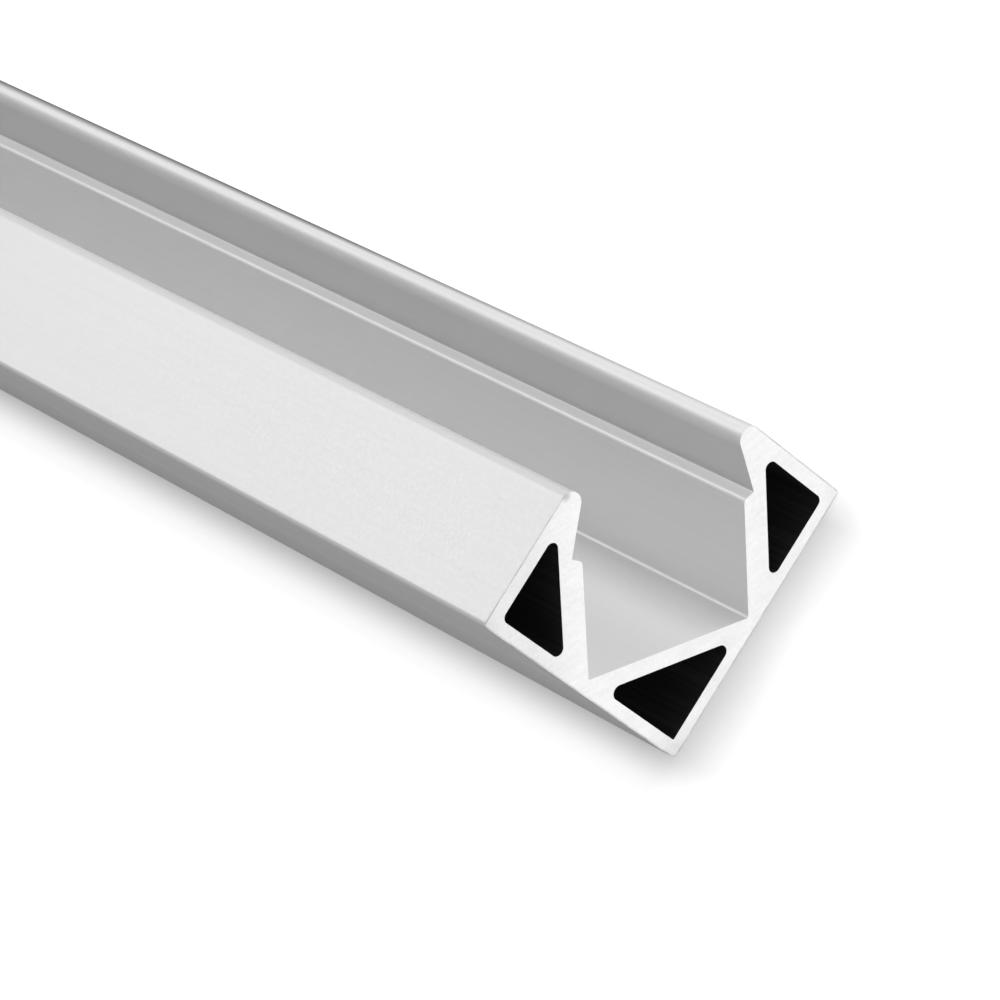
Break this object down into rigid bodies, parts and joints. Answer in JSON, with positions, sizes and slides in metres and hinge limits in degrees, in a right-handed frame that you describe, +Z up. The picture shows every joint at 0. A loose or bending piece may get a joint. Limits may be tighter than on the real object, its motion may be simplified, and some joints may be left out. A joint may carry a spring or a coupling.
{
  "type": "corner led strip profile",
  "caption": "Extruded aluminium corner bar for LED strip, with a channel facing out at 45 degrees, snap grooves under its lips for a cover, and triangular hollow chambers.",
  "frame": {"origin": "middle of the back wall that the bar lies on, halfway along its length", "axes": "+X along the bar, towards the end seen in the picture; +Z up, square to the wall it lies on; +Y from the upright back wall towards the front. The channel opens halfway between +Y and +Z."},
  "size_m": [1, 0.019, 0.019],
  "materials": {
    "profile": "satin silver anodised, with sawn ends"
  },
  "bodies": {
    "root": {"profile": "profile"}
  },
  "joints": []
}
